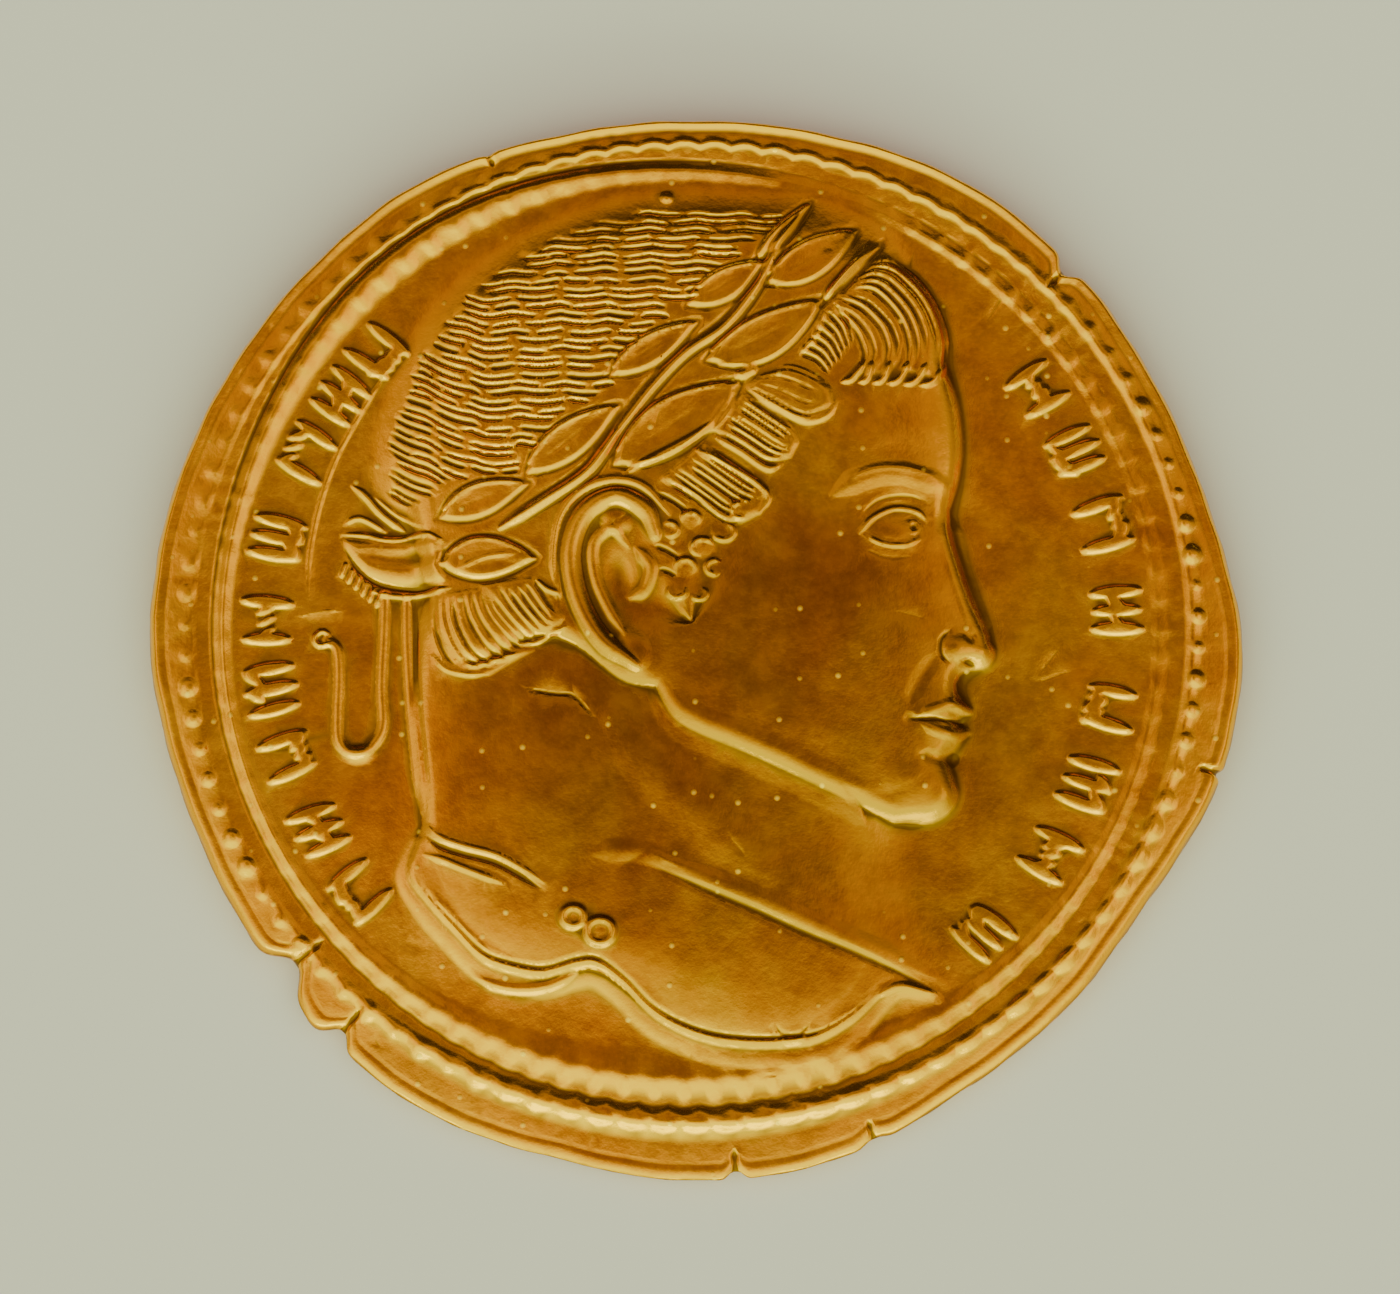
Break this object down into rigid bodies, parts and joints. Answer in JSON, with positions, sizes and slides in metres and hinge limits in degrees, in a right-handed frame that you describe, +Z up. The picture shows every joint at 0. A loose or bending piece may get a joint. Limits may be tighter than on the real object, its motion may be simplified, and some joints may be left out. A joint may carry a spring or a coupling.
{
  "type": "gold coin",
  "caption": "Ancient struck gold coin with a laurelled head in profile inside a beaded border, and a laurel wreath on the back.",
  "frame": {"origin": "on the surface that the coin rests on, under the middle of the coin's outline", "axes": "+Z up, out of the portrait side; +Y towards the top of the portrait's head; +X the way the portrait looks"},
  "size_m": [0.02, 0.02, 0.0015],
  "materials": {
    "gold": "polished, worn gold"
  },
  "bodies": {
    "root": {"coin": "gold"}
  },
  "joints": []
}
